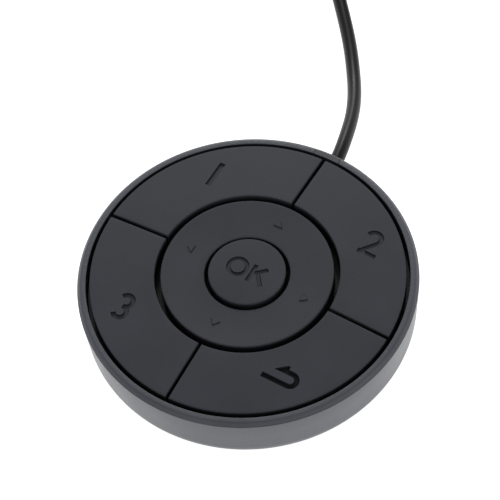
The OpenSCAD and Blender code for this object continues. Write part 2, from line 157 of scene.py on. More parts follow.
moulded = {"cloud": 14, "gloss": 0.5, "tint": (1, 1, 1, 1), "roughSpan": 0.04, "paintedShadeTone": (0.06, 0.06, 0.09)}


def mouldedFinish(name, colour, own):
    # moulded plastic: spark-eroded grain, faint clouds in tone and gloss, and a painted shade tone where the
    # 'sunk' attribute is set: in signs, on their walls, and on walls down in the gaps between parts
    look = {**moulded, **own}
    f = Finish(name)
    clouds, grain = f.noise(look["cloud"], 2), f.noise(look["grain"], 4)
    dark, light = scaled(colour, 1 - look["mottle"]), scaled(colour, 1 + look["mottle"])
    tone = f.mix(f.spread(clouds, 0, 1), dark, light)
    tone = f.mix(f.spread(grain, 0, look["mottle"]), tone, light)
    # the 'sunk' attribute carries painted shade for sunk signs, their walls and the walls in the gaps
    sunk = f.add("Attribute", attribute_name="sunk").outputs["Fac"]
    f.shade(Base_Color=f.mix(sunk, tone, scaled(colour, look["paintedShadeTone"])))
    f.shade(Roughness=f.spread(clouds, look["rough"] - look["roughSpan"], look["rough"] + look["roughSpan"]))
    f.shade(Normal=f.bump(grain, look["depth"]), Specular_IOR_Level=look["gloss"], Specular_Tint=look["tint"])
    return f.material


keyFinish = mouldedFinish("keyPlastic", linear(62, 63, 69), {
    "grain": 0.3, "depth": 0.04, "mottle": 0.09, "rough": 0.55, "gloss": 0.13})
caseFinish = mouldedFinish("casePlastic", linear(67, 69, 76), {
    "grain": 0.4, "depth": 0.06, "mottle": 0.09, "rough": 0.34, "gloss": 0.74, "tint": (0.92, 0.95, 1, 1)})
rimFinish = mouldedFinish("rimPlastic", linear(76, 78, 84), {
    "grain": 0.4, "depth": 0.06, "mottle": 0.09, "rough": 0.4, "gloss": 0.35, "tint": (0.92, 0.95, 1, 1)})
outletFinish = mouldedFinish("outletPlastic", linear(56, 55, 60), {
    "grain": 0.25, "depth": 0.012, "mottle": 0.08, "rough": 0.45})
innerFinish = mouldedFinish("innerPlastic", linear(30, 30, 32), {
    "grain": 0.4, "depth": 0.01, "mottle": 0.1, "rough": 0.5})
footFinish = mouldedFinish("footRubber", linear(30, 30, 31), {
    "grain": 0.35, "depth": 0.03, "mottle": 0.2, "rough": 0.8, "gloss": 0.3})
plugFinish = mouldedFinish("plugPlastic", linear(32, 32, 34), {
    "grain": 0.3, "depth": 0.014, "mottle": 0.1, "rough": 0.45})
connectorFinish = mouldedFinish("connectorNylon", linear(222, 214, 194), {
    "grain": 0.3, "depth": 0.008, "mottle": 0.04, "rough": 0.4})
chipFinish = mouldedFinish("chipEpoxy", linear(34, 34, 35), {
    "grain": 0.12, "depth": 0.01, "mottle": 0.2, "rough": 0.55})


def siliconeFinish():
    # soft milky rubber with a dusty bloom
    f = Finish("siliconeRubber")
    dust = f.noise(1.5, 4)
    f.shade(Base_Color=f.mix(f.spread(dust, 0, 1), linear(196, 197, 194), linear(216, 216, 212)))
    f.shade(Roughness=f.spread(dust, 0.5, 0.68), Normal=f.bump(f.noise(0.3), 0.01))
    f.shade(Subsurface_Weight=0.15, Subsurface_Radius=(2 * mm, 2 * mm, 2 * mm))
    return f.material


def steelFinish(name, tone, stretch, worn=0.92):
    # plated steel with drawn streaks along one axis, worn a little darker between them
    f = Finish(name)
    streaks = f.noise(0.4, 3, stretch)
    f.shade(Base_Color=f.mix(f.spread(streaks, 0, 1), linear(*[worn * t for t in tone]), linear(*tone)))
    f.shade(Metallic=1.0, Roughness=f.spread(streaks, 0.24, 0.38), Normal=f.bump(streaks, 0.004))
    return f.material


def boardFinish():
    # green solder mask with copper tracks under it, laid out as the joints of long bricks
    f = Finish("circuitBoard")
    bricks = {"Vector": f.place(), "Scale": 90.0, "Mortar Size": 0.03, "Mortar Smooth": 0.3}
    tracks = f.add("TexBrick", bricks).outputs["Fac"]
    weave = f.noise(0.5, 2)
    mask = f.mix(f.spread(weave, 0, 1), linear(18, 74, 42), linear(24, 88, 50))
    f.shade(Base_Color=f.mix(tracks, mask, linear(46, 122, 70)), Roughness=f.spread(weave, 0.28, 0.38))
    f.shade(Normal=f.bump(tracks, 0.03, f.bump(weave, 0.006)))
    return f.material


leadWires = {"halfWidth": 3.2, "tones": [(168, 32, 28), (214, 212, 206), (34, 112, 58), (26, 26, 27)]}


def wireFinish(c):
    # jackets side by side: red, white, green and black, chosen by the place across
    f = Finish("leadWires")
    across = f.add("SeparateXYZ", {"Vector": f.place()}).outputs["X"]
    half = c["halfWidth"] * mm
    ramp = f.add("ValToRGB", {"Fac": f.spread(across, 0, 1, -half, half)})
    stops, count = ramp.color_ramp.elements, len(c["tones"])
    ramp.color_ramp.interpolation = "CONSTANT"
    while len(stops) < count:
        stops.new(0.5)
    for k, tone in enumerate(c["tones"]):
        stops[k].position, stops[k].color = k / count, linear(*tone)
    shine = f.noise(0.6, 2)
    f.shade(Base_Color=ramp.outputs["Color"], Roughness=f.spread(shine, 0.32, 0.45))
    f.shade(Normal=f.bump(shine, 0.004))
    return f.material


def cordFinish():
    # black jacket drawn through a die: faint lines along it, and a slow change of gloss
    f = Finish("cordJacket")
    along = f.add("UVMap", uv_map="cordRun").outputs[0]
    drawn = f.add("Mapping", {"Vector": along, "Scale": (0.02, 40, 1)}).outputs[0]
    lines = f.add("TexNoise", {"Vector": drawn, "Scale": 1.0}).outputs["Fac"]
    haze = f.noise(6, 2)
    f.shade(Base_Color=f.mix(f.spread(haze, 0, 1), linear(8, 8, 9), linear(12, 12, 13)))
    f.shade(Roughness=f.spread(haze, 0.34, 0.4), Normal=f.bump(lines, 0.012), Specular_IOR_Level=0.24)
    return f.material


def tieFinish():
    # napped strap: fine loops standing in rows
    f = Finish("strapNap")
    loops = f.add("TexVoronoi", {"Vector": f.place(), "Scale": 2200.0}).outputs["Distance"]
    f.shade(Base_Color=f.mix(f.spread(loops, 0, 1, 0, 0.6), linear(40, 40, 42), linear(18, 18, 19)))
    f.shade(Roughness=0.85, Normal=f.bump(loops, 0.12), Sheen_Weight=0.2)
    return f.material


siliconeLook = siliconeFinish()
screwLook = steelFinish("screwSteel", (190, 190, 190), (1, 1, 0.1))
plugSteelLook = steelFinish("plugSteel", (205, 205, 205), (0.1, 1, 1))
contactLook = steelFinish("contactGold", (226, 190, 112), (0.1, 1, 1))
boardLook = boardFinish()
wireLook = wireFinish(leadWires)
cordLook = cordFinish()
tieLook = tieFinish()

nodeFinishes = {
    "outlet_block": outletFinish, "foot_ring": footFinish, "case_screws": screwLook,
    "key_carrier": innerFinish, "gimbal_ring": innerFinish, "keypad_sheet": siliconeLook,
    "circuit_board": boardLook, "controller_chip": chipFinish,
    "cord_socket": connectorFinish, "crimp_plug": connectorFinish, "lead_wires": wireLook,
}
for name, finish in nodeFinishes.items():
    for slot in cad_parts[name].material_slots:
        slot.material = finish
print("puck: finishes made")


# Meshes

def gridQuads(rows, cols, ringRows=False, ringCols=False):
    # four-cornered faces between neighbouring rows and columns of points numbered row by row
    i = np.arange(rows - (not ringRows))[:, None]
    j = np.arange(cols - (not ringCols))[None, :]
    i2, j2 = (i + 1) % rows, (j + 1) % cols
    corners = np.broadcast_arrays(i * cols + j, i * cols + j2, i2 * cols + j2, i2 * cols + j)
    return np.stack(corners, -1).reshape(-1, 4)


def band(upper, lower):
    # faces between two closed loops of point numbers of the same length
    return np.stack([np.roll(upper, -1), upper, lower, np.roll(lower, -1)], -1)


def faceOut(points, faces):
    # sums the volume of fans from the origin; where it is negative, every face is turned round
    volume = 0.0
    for group in faces:
        a, b, c = points[group[:, :1]], points[group[:, 1:-1]], points[group[:, 2:]]
        volume += np.sum(a * np.cross(b, c))
    return faces if volume > 0 else [group[:, ::-1] for group in faces]


def makePiece(name, parts, body, slotName, finish, *nodes, sunk=None, sharp=50):
    # joins closed shells into one mesh, smooth except over sharp edges
    points, faces, start = [], [], 0
    for shell, groups in parts:
        for group in faceOut(shell, groups):
            faces += (group + start).tolist()
        points.append(shell)
        start += len(shell)
    mesh = bpy.data.meshes.new(name)
    mesh.from_pydata((np.concatenate(points) * mm).tolist(), [], faces)
    mesh.polygons.foreach_set("use_smooth", np.ones(len(faces), bool))
    mesh.set_sharp_from_angle(angle=math.radians(sharp))
    if sunk is not None:
        values = np.zeros(start, np.float32)
        values[:len(sunk)] = sunk
        mesh.attributes.new("sunk", "FLOAT", "POINT").data.foreach_set("value", values)
    mesh.materials.append(finish)
    piece = bpy.data.objects.new(name, mesh)
    scene.collection.objects.link(piece)
    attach(piece, body)
    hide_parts(*nodes)
    return piece


def rounded(corners, steps=6):
    # each corner (x, y, radius) of a closed outline gives way to an arc that touches both its sides
    spots = np.array([c[:2] for c in corners], float)
    arcs = []
    for k, (here, corner) in enumerate(zip(spots, corners)):
        if not corner[2]:
            arcs.append(here[None])
            continue
        toLast, toNext = spots[k - 1] - here, spots[(k + 1) % len(spots)] - here
        toLast, toNext = toLast / np.linalg.norm(toLast), toNext / np.linalg.norm(toNext)
        half = 0.5 * np.arccos(np.clip(toLast @ toNext, -1, 1))
        middle = here + (toLast + toNext) / np.linalg.norm(toLast + toNext) * corner[2] / np.sin(half)
        reach, sweep = corner[2] / np.tan(half), np.pi - 2 * half
        first, last = here + toLast * reach - middle, here + toNext * reach - middle
        t = np.linspace(0, 1, steps + 1)[:, None]
        arcs.append(middle + (np.sin((1 - t) * sweep) * first + np.sin(t * sweep) * last) / np.sin(sweep))
    return np.concatenate(arcs)


def lofted(rows, closed=False):
    # loops of points joined one after another, the last to the first or else with a flat at each end
    count, sides = rows.shape[:2]
    faces = [gridQuads(count, sides, closed, True)]
    if not closed:
        ring = np.arange(sides)[None]
        faces += [ring[:, ::-1], ring + (count - 1) * sides]
    return rows.reshape(-1, 3), faces


def around(radius, turn):
    # place on a circle round the middle, by an angle in degrees
    return radius * math.cos(math.radians(turn)), radius * math.sin(math.radians(turn))


def evenTurn(sides):
    # angles at even steps once round
    return np.linspace(0, 2 * np.pi, sides, endpoint=False)


def ringLoops(outline, a):
    # a level loop of points at these angles for each radius and height of an outline
    r, z = np.array(outline, float).T[..., None]
    return np.stack([r * np.cos(a), r * np.sin(a), z + 0 * a], -1)


def turned(outline, at=(0, 0), sides=64, closed=False):
    # outline of radius and height swept round an upright line; an open one gets a flat at each end
    return lofted(ringLoops(outline, evenTurn(sides)) + (*at, 0), closed)


def sweptPastSlot(outline, halfSlot, steps):
    # closed outline swept from one side of a slot at +Y round to the other, with ends cut square to the slot
    r, z = outline[:, :1], outline[:, 1:]
    lead = np.arcsin(halfSlot / r)
    a = np.pi / 2 + lead + np.linspace(0, 1, steps + 1) * (2 * np.pi - 2 * lead)
    shell = np.stack([r * np.cos(a), r * np.sin(a), np.repeat(z, steps + 1, 1)], -1).reshape(-1, 3)
    ends = (np.arange(len(outline)) * (steps + 1))[None]
    return shell, [gridQuads(len(outline), steps + 1, True), ends, ends[:, ::-1] + steps]


def unevenLine(low, fineLow, fineHigh, high, fine, coarse):
    # places along a line, close together between two marks and further apart outside them
    spans = ((low, fineLow, coarse), (fineLow, fineHigh, fine), (fineHigh, high, coarse))
    runs = [np.linspace(a, b, max(1, math.ceil((b - a) / gap)), endpoint=False) for a, b, gap in spans]
    return np.append(np.concatenate(runs), high)


def roundEdge(size, steps=6):
    # distance in from the wall and drop from the top along a quarter round, wall first, top left out
    turn = np.linspace(0, np.pi / 2, steps, endpoint=False)
    return size * (1 - np.cos(turn)), size * (1 - np.sin(turn))


def edgedRows(c):
    # radii from wall to wall, close together where the signs are, and the drop of a round edge at both walls
    inEdge, drop = roundEdge(c["edge"])
    inner, outer = c["inner"], c["outer"]
    flat = unevenLine(inner + c["edge"], c["fineFrom"], c["fineTo"], outer - c["edge"],
                      c["fine"], c["coarse"])
    r = np.concatenate([inner + inEdge, flat, outer - inEdge[::-1]])[:, None]
    return r, np.concatenate([drop, 0 * flat, drop[::-1]])[:, None]


def smoothStep(t):
    # none below 0, one above 1, an even S between
    t = np.clip(t, 0, 1)
    return t * t * (3 - 2 * t)


# Signs: strokes and patches as outlines, measured by distance

def arcLine(centre, radius, start, end, count=25):
    # points along an arc from one angle to another, in degrees
    a = np.radians(np.linspace(start, end, count))
    return np.stack([centre[0] + radius * np.cos(a), centre[1] + radius * np.sin(a)], -1)


def stroke(points, width):
    # outline of a line of this width with square ends, set off to both sides along its normals
    points = np.asarray(points, float)
    along = np.gradient(points, axis=0)
    along /= np.linalg.norm(along, axis=1, keepdims=True)
    side = np.stack([-along[:, 1], along[:, 0]], -1) * width / 2
    return np.concatenate([points + side, (points - side)[::-1]])


def outlineDistance(x, y, outline, tiny=1e-9):
    # least distance to the outline's edges, negative inside by the count of edges crossed
    p = np.stack([x, y], -1)[..., None, :]
    a, b = outline, np.roll(outline, -1, 0)
    edge = b - a
    share = np.clip(np.sum((p - a) * edge, -1) / np.sum(edge * edge, -1), 0, 1)
    away = np.linalg.norm(p - a - share[..., None] * edge, axis=-1).min(-1)
    above = (a[:, 1] > p[..., 1]) != (b[:, 1] > p[..., 1])
    slope = edge[:, 0] / np.where(edge[:, 1] == 0, tiny, edge[:, 1])
    crossed = above & (p[..., 0] < a[:, 0] + (p[..., 1] - a[:, 1]) * slope)
    return np.where(crossed.sum(-1) % 2 == 1, -away, away)


def sinkInto(x, y, signs, soft):
    # share of the full depth at each point: one inside a sign, none outside, a smooth wall between
    near = np.min([sign(x, y) for sign in signs], axis=0)
    return smoothStep(0.5 - near / soft)


def paintedShadeOf(sunk, dark, paintedWallShade=3.6):
    # painted shade for a sign: its sunk floor darkened by the given share, its steep walls darker still, as
    # painted shade
    return np.maximum(dark * sunk, paintedWallShade * sunk * (1 - sunk)).ravel()


def patch(outline):
    # distance from a filled outline
    return lambda x, y: outlineDistance(x, y, np.asarray(outline, float))


def hoop(centre, radius, width):
    # distance from a circle less half the width of its line
    return lambda x, y: np.abs(np.hypot(x - centre[0], y - centre[1]) - radius) - width / 2


# Cord

cordRun = {
    "diameter": 3.3, "sides": 18, "gap": 1.2, "exit": (0, 37.9, 8.5), "lay": 1.8, "puckRadius": 38,
    "route": [  # across, away from the puck and share of the exit's height
        (0, 2, 1), (-0.25, 4.3, 1), (-1.1, 7.4, 0.955), (-2.3, 11.7, 0.81), (-3.7, 16.2, 0.61),
        (-5.9, 21.4, 0.375), (-8.6, 26.6, 0.165), (-11.4, 31, 0.045), (-15, 36.5, 0), (-19.6, 42.5, 0),
        (-25, 49, 0), (-31, 56, 0.03), (-37, 63, 0.075)],
    "coilMid": (-22.5, 125), "coilStart": 220, "loops": 4, "step": 4, "innerRadius": 10.5,
    "layerOne": 2.45, "layerTwo": 6.25, "climb": 180, "turn": 3010, "turnStep": 7.5,
    "tailRun": 6, "tailDrop": 14, "tailPoints": 9, "plugHeight": 3.6,
    "easedPoints": 62, "easedFade": 15, "easedTimes": 16,
}


def cordLine(c):
    # over the table to the coil; there the radius shrinks one step a turn, climbs a layer and grows again
    fall = c["exit"][2] - c["lay"]
    route = [(x, c["puckRadius"] + y, c["lay"] + fall * share) for x, y, share in c["route"]]
    t = np.linspace(0, c["turn"], int(c["turn"] / c["turnStep"]))
    inTurn = c["loops"] * 360
    outer = c["innerRadius"] + c["loops"] * c["step"]
    r = np.where(t < inTurn + c["climb"] / 2, outer - c["step"] * t / 360,
                 c["innerRadius"] + c["step"] * (t - inTurn - c["climb"]) / 360)
    rise = (1 - np.cos(np.pi * np.clip((t - inTurn) / c["climb"], 0, 1))) / 2
    a = np.radians(c["coilStart"] - t)
    coil = np.stack([c["coilMid"][0] + r * np.cos(a), c["coilMid"][1] + r * np.sin(a),
                     c["layerOne"] + (c["layerTwo"] - c["layerOne"]) * rise], -1)
    # a point before the coil leads into it, and a half wave lets the tail down to the plug
    start = math.radians(c["coilStart"])
    head = coil[0] - c["diameter"] * np.array([math.sin(start), -math.cos(start), 0])
    s = np.linspace(0, 1, c["tailPoints"])
    drop = (c["plugHeight"] - c["layerTwo"]) * (1 - np.cos(np.pi * s)) / 2
    tail = coil[-1] + np.stack([c["tailRun"] + c["tailDrop"] * s, 0 * s, drop], -1)
    end = (coil[-1][0] + c["tailRun"] + c["tailDrop"] + c["diameter"], coil[-1][1], c["plugHeight"])
    return np.concatenate([[c["exit"]], route, [head], coil, tail, [end]])


def smoothLine(points, gap):
    # cubic through the points, its slope at each set by both neighbours, then points at an even gap along it
    length = np.append(0, np.cumsum(np.linalg.norm(np.diff(points, axis=0), axis=1)))
    slope = np.gradient(points, length, axis=0)
    s = np.linspace(0, length[-1], int(length[-1] / gap))
    k = np.clip(np.searchsorted(length, s) - 1, 0, len(points) - 2)
    h = (length[k + 1] - length[k])[:, None]
    t = (s - length[k])[:, None] / h
    return ((2 * t**3 - 3 * t**2 + 1) * points[k] + (t**3 - 2 * t**2 + t) * h * slope[k]
            + (3 * t**2 - 2 * t**3) * points[k + 1] + (t**3 - t**2) * h * slope[k + 1])


def eased(line, c):
    # the first points drawn half-way to the middle of their neighbours, again and again, fading out along it
    line = line.copy()
    share = smoothStep((c["easedPoints"] - np.arange(len(line))) / c["easedFade"])[1:-1, None]
    for k in range(c["easedTimes"]):
        line[1:-1] += 0.5 * share * (0.5 * (line[:-2] + line[2:]) - line[1:-1])
    return line


def carriedTube(line, radius, sides):
    # circle carried along a line, kept upright by the world's up
    along = np.gradient(line, axis=0)
    along /= np.linalg.norm(along, axis=1, keepdims=True)
    side = np.cross(along, [0, 0, 1])
    side /= np.linalg.norm(side, axis=1, keepdims=True)
    up = np.cross(side, along)
    a = evenTurn(sides)[None, :, None]
    return lofted(line[:, None] + radius * (np.cos(a) * side[:, None] + np.sin(a) * up[:, None]))


def addRunMap(piece, c):
    # UV map from the number of each point: millimetres along the cord, and once round it from 0 to 1
    point = np.zeros(len(piece.data.loops), np.int32)
    piece.data.loops.foreach_get("vertex_index", point)
    place = np.stack([point // c["sides"] * c["gap"], point % c["sides"] / c["sides"]], -1)
    piece.data.uv_layers.new(name="cordRun").data.foreach_set("uv", place.astype(np.float32).ravel())


cordPath = eased(smoothLine(cordLine(cordRun), cordRun["gap"]), cordRun)
cordPiece = makePiece("cordRun", [carriedTube(cordPath, cordRun["diameter"] / 2, cordRun["sides"])],
                      "case", "cord_jacket", cordLook, "cord", "cord_coil")
addRunMap(cordPiece, cordRun)


# Strap round the coil

cordStrap = {
    "turn": 15, "width": 6, "thick": 0.6, "edge": 0.2, "edgeSteps": 3, "hug": 2.1,
    "loops": [(11.6, 2.45), (24.4, 2.45), (23.0, 6.25), (10.1, 6.25)],  # corner loops: radius and height
    "steps": 12, "startStep": 60, "overlap": 11, "liftFrom": 80, "liftOver": 12, "lift": 0.66,
    "tip": 2.5, "tipStep": 1.07, "tipWidth": 0.2,
}


def strapParts(c):
    # line at an even distance round the corner loops, a little over one turn, so its end lies on its start
    spots = np.array(c["loops"])
    edge = np.roll(spots, -1, 0) - spots
    facing = np.unwrap(np.arctan2(-edge[:, 0], edge[:, 1]))
    before = np.append(facing[-1] - 2 * np.pi, facing[:-1])
    s = np.linspace(0, 1, c["steps"], endpoint=False)[:, None]
    spot = np.concatenate([spots + 0 * s[..., None], spots + s[..., None] * edge])
    spot = spot.transpose(1, 0, 2).reshape(-1, 2)
    turn = np.concatenate([before + s * (facing - before), facing + 0 * s]).T.ravel()
    k = np.arange(len(spot) + c["overlap"])
    pick = (k + c["startStep"]) % len(spot)
    out = np.stack([np.cos(turn[pick]), np.sin(turn[pick])], -1)[:, None]
    lift = c["lift"] * smoothStep((k - c["liftFrom"]) / c["liftOver"])
    line = spot[pick][:, None] + (c["hug"] + lift)[:, None, None] * out
    # flat section with soft edges, narrowed to a round tip at the free end
    half, thin, soft = c["width"] / 2, c["thick"] / 2, c["edge"]
    section = rounded([(-half, -thin, soft), (half, -thin, soft), (half, thin, soft), (-half, thin, soft)],
                      c["edgeSteps"])
    left = np.minimum((k[-1] - k) * c["tipStep"] / c["tip"], 1)
    across = section[:, 0] * np.maximum(np.sqrt(1 - (1 - left) ** 2), c["tipWidth"])[:, None]
    outward, up = np.moveaxis(line + section[:, 1:] * out, -1, 0)
    # turned to its side of the coil
    a, (midX, midY) = math.radians(c["turn"]), cordRun["coilMid"]
    return [lofted(np.stack([midX + outward * math.cos(a) - across * math.sin(a),
                             midY + outward * math.sin(a) + across * math.cos(a), up], -1))]


makePiece("cordStrap", strapParts(cordStrap), "case", "tie", tieLook, "cord_tie")


# Plug

plugGrip = {
    "start": (0.8, 150.944, 3.6), "length": 18, "width": 9.8, "height": 7.2, "neck": 5.2, "neckRadius": 2.25,
    "edge": 0.7, "rows": 150, "sides": 128, "square": 3.6,
    "ribs": (0.7, 4.0, 1.1, 0.3),  # first, last, gap and depth
    "grooves": (8.2, 9.8, 11.4, 13.0, 14.6), "groove": (0.45, 0.35, 1.4),  # half width, depth and spread
    "grooveSide": (0.6, 0.15),  # where it fades in towards the sides, and over how much
    "dip": (11.4, 4.2, 2.9, 0.4, 3),  # middle, half length, half width, depth and steepness
}


def gripParts(c):
    # squared ellipse carried along the plug: round ribbed neck, then a body with side grooves and a thumb dip
    bodyEnd = c["length"] - c["edge"]
    s = np.concatenate([np.linspace(0, bodyEnd, c["rows"]), c["length"] - roundEdge(c["edge"])[1]])[:, None]
    a = evenTurn(c["sides"])[None]
    grown = smoothStep(s / c["neck"])
    first, last, gap, deep = c["ribs"]
    ribs = deep * np.sin(np.pi * (s - first) / gap) ** 2 * ((s > first) & (s < last))
    drawn = c["edge"] - np.sqrt(c["edge"] ** 2 - np.clip(s - c["length"] + c["edge"], 0, c["edge"]) ** 2)
    wide = c["neckRadius"] + (c["width"] / 2 - c["neckRadius"]) * grown - ribs - drawn
    tall = c["neckRadius"] + (c["height"] / 2 - c["neckRadius"]) * grown - ribs - drawn
    power = 2 / (2 + c["square"] * grown)
    halfGroove, deepGroove, spread = c["groove"]
    sideFrom, sideOver = c["grooveSide"]
    grooves = sum(deepGroove * smoothStep(spread - np.abs(s - at) / halfGroove) for at in c["grooves"])
    wide = wide - grooves * smoothStep((np.abs(np.cos(a)) - sideFrom) / sideOver)
    y = wide * np.sign(np.cos(a)) * np.abs(np.cos(a)) ** power
    z = tall * np.sign(np.sin(a)) * np.abs(np.sin(a)) ** power
    middle, longHalf, wideHalf, depth, steep = c["dip"]
    inDip = smoothStep(steep - steep * ((s - middle) / longHalf) ** 2 - steep * (y / wideHalf) ** 2)
    z = z - depth * inDip * (z > 0)
    return [lofted(np.stack([s + 0 * a, y, z], -1) + c["start"])]


def boxLoop(c, inset, count=160, leastCorner=0.1, cornerSteps=8):
    # rounded oblong with points at even gaps round it
    w, h, r = c["width"] / 2 - inset, c["height"] / 2 - inset, max(c["corner"] - inset, leastCorner)
    loop = rounded([(w, -h, r), (w, h, r), (-w, h, r), (-w, -h, r)], cornerSteps)
    loop = np.append(loop, loop[:1], 0)
    run = np.append(0, np.cumsum(np.linalg.norm(np.diff(loop, axis=0), axis=1)))
    s = np.linspace(0, run[-1], count, endpoint=False)
    return np.stack([np.interp(s, run, loop[:, k]) for k in (0, 1)], -1)


plugShell = {
    "length": 7, "width": 6.8, "height": 3, "wall": 0.4, "corner": 0.5, "root": 0.5, "rows": 90, "lip": 0.2,
    "lipRound": 0.06, "inside": 1, "flat": 0.05, "dent": 0.26, "dentEdge": 0.15,
    "window": (2.4, 4.4, 0.9, 2.1),  # from and to along the plug, from and to across it
}


def shellParts(c, start):
    # folded tube of oblong loops, outside, lip and inside, with spring windows pressed into top and bottom
    end, wall, lip, soft = c["length"], c["wall"], c["lip"], c["lipRound"]
    x = np.linspace(-c["root"], end - lip, c["rows"])
    x = np.append(x, [end - soft, end, end - soft, end - lip, c["inside"]])[:, None]
    inset = np.append(np.zeros(c["rows"]), [soft, lip, wall - soft, wall, wall])
    y, z = np.moveaxis(np.stack([boxLoop(c, step) for step in inset]), -1, 0)
    near, far, low, high = c["window"]
    along = smoothStep(np.minimum(x - near, far - x) / c["dentEdge"])
    across = smoothStep(np.minimum(np.abs(y) - low, high - np.abs(y)) / c["dentEdge"])
    outside = (inset == 0)[:, None] & (np.abs(z) > c["height"] / 2 - c["flat"])
    z = z - np.sign(z) * (c["dent"] * along * across * outside)
    return [lofted(np.stack([x + 0 * z, y, z], -1) + start)]


# plates inside the shell, measured from the plug's mouth
plugPlate = {"corner": 0.08, "points": 32, "tip": 0.1, "tipSize": 0.9}
plugTongue = {"x": (0.8, 6.2), "y": (-2.2, 2.2), "z": (-0.95, -0.35)}
plugContacts = {"x": (1, 5.7), "middles": (-1.4, -0.7, 0, 0.7, 1.4), "half": 0.2, "z": (-0.45, -0.27)}


def plateParts(c, start, x, y, z):
    # thin plate with softened edges, as oblong loops along the plug, a little smaller at its free end
    loop = boxLoop({"width": y[1] - y[0], "height": z[1] - z[0], "corner": c["corner"]}, 0, c["points"])
    along = np.array([x[0], x[1] - c["tip"], x[1]])[:, None]
    size = np.array([1, 1, c["tipSize"]])[:, None]
    return lofted(np.stack([start[0] + along + 0 * loop[:, 0], start[1] + sum(y) / 2 + size * loop[:, 0],
                            start[2] + sum(z) / 2 + size * loop[:, 1]], -1))


def contactParts(c, start):
    # one narrow plate for each contact on the tongue
    return [plateParts(plugPlate, start, c["x"], (y - c["half"], y + c["half"]), c["z"])
            for y in c["middles"]]


mouth = (plugGrip["start"][0] + plugGrip["length"], *plugGrip["start"][1:])
makePiece("plugGrip", gripParts(plugGrip), "case", "plug_plastic", plugFinish, "plug_grip", sharp=40)
makePiece("plugShell", shellParts(plugShell, mouth), "case", "plug_steel", plugSteelLook, "plug_shell",
          sharp=40)
makePiece("plugTongue", [plateParts(plugPlate, mouth, **plugTongue)], "case", "plug_plastic", plugFinish)
makePiece("plugContacts", contactParts(plugContacts, mouth), "case", "plug_steel", contactLook)


# Case

caseShell = {
    "radius": 38, "height": 15, "lean": 4, "wall": 1.4, "base": 0.6, "floorTop": 2.2, "middle": 10,
    "corner": 5, "innerCorner": 3, "cornerSteps": 14, "edge": 0.1, "topEdge": 0.2, "steps": 320,
    "slotHalf": 3.25, "slotFloor": 5.35, "ledge": 11.7, "ledgeRadius": 36.7,
    "footIn": 25.43, "footOut": 31.63, "footRoof": 1.2, "flat": 3,
    "screwCircle": 28.53, "screwTurns": (0, 180, 270), "bore": 1.1, "boreFoot": 2.6,
    "bossRadius": 4, "bossNeck": 3, "bossFoot": 1.9, "bossTop": 7.3, "boardUnder": 5.3, "bossSides": 48,
    "restRadius": 1.5, "restCore": 0.2, "rests": [(-12.5, 28), (12.5, 28)], "restSides": 32, "postSteps": 4,
}


def caseParts(c):
    # a bowl below the cord slot and a leaning band above it, with screw bosses and two board rests inside
    lean = math.radians(c["lean"])
    thick = c["wall"] / math.cos(lean)

    def wallAt(z, inset=0):
        # radius and height on the wall, which grows outward by the tangent of its lean
        return c["radius"] - (c["height"] - z) * math.tan(lean) - inset, z

    bowl = rounded([
        (c["flat"], c["base"], 0), (c["footIn"], c["base"], c["edge"]), (c["footIn"], c["footRoof"], 0),
        (c["footOut"], c["footRoof"], 0), (c["footOut"], c["base"], c["edge"]),
        (*wallAt(c["base"]), c["corner"]), (*wallAt(c["slotFloor"]), 0), (*wallAt(c["slotFloor"], thick), 0),
        (*wallAt(c["floorTop"], thick), c["innerCorner"]), (c["flat"], c["floorTop"], 0)], c["cornerSteps"])
    wallBand = rounded([
        (*wallAt(c["slotFloor"]), 0), (*wallAt(c["middle"]), 0), (c["radius"], c["height"], c["topEdge"]),
        (c["ledgeRadius"], c["height"], c["edge"]), (c["ledgeRadius"], c["ledge"], 0),
        (*wallAt(c["ledge"], thick), 0), (*wallAt(c["slotFloor"], thick), 0)])
    boss = rounded([
        (c["bore"], c["boreFoot"], 0), (c["bossRadius"], c["bossFoot"], 0),
        (c["bossRadius"], c["boardUnder"], c["topEdge"]), (c["bossNeck"], c["boardUnder"], 0),
        (c["bossNeck"], c["bossTop"], c["topEdge"]), (c["bore"], c["bossTop"], 0)], c["postSteps"])
    rest = rounded([
        (c["restCore"], c["bossFoot"], 0), (c["restRadius"], c["bossFoot"], 0),
        (c["restRadius"], c["boardUnder"], c["topEdge"]), (c["restCore"], c["boardUnder"], 0)], c["postSteps"])
    parts = [turned(bowl, sides=c["steps"]), sweptPastSlot(wallBand, c["slotHalf"], c["steps"])]
    parts += [turned(boss, around(c["screwCircle"], turn), c["bossSides"], True) for turn in c["screwTurns"]]
    return parts + [turned(rest, at, c["restSides"]) for at in c["rests"]]


rimRing = {
    "inner": 36, "outer": 38, "foot": 15, "top": 15.9, "slope": 0.8, "skirtOut": 36.6, "skirtFoot": 11.7,
    "skirtEdge": 0.1, "footEdge": 0.12, "brow": 0.8, "lip": 0.14, "edgeSteps": 9, "steps": 320,
    "paintedGapShadeFrom": 15.7, "paintedGapShade": 0.7, "slack": 0.01,
}


def rimParts(c):
    # flat-topped ring with a slope round the outside, its edges softened, its skirt inside the wall
    outline = rounded([
        (c["inner"], c["skirtFoot"], c["skirtEdge"]), (c["skirtOut"], c["skirtFoot"], c["skirtEdge"]),
        (c["skirtOut"], c["foot"], 0), (c["outer"], c["foot"], c["footEdge"]),
        (c["outer"] - c["slope"], c["top"], c["brow"]), (c["inner"], c["top"], c["lip"]),
        (c["inner"], c["paintedGapShadeFrom"], 0)], c["edgeSteps"])
    # painted shade on the wall towards the keys, down in the gap
    r, z = outline.T
    paintedGapShade = c["paintedGapShade"] * ((r < c["inner"] + c["slack"]) & (z < c["paintedGapShadeFrom"] + c["slack"]))
    return [sweptPastSlot(outline, caseShell["slotHalf"], c["steps"])], np.repeat(paintedGapShade, c["steps"] + 1)


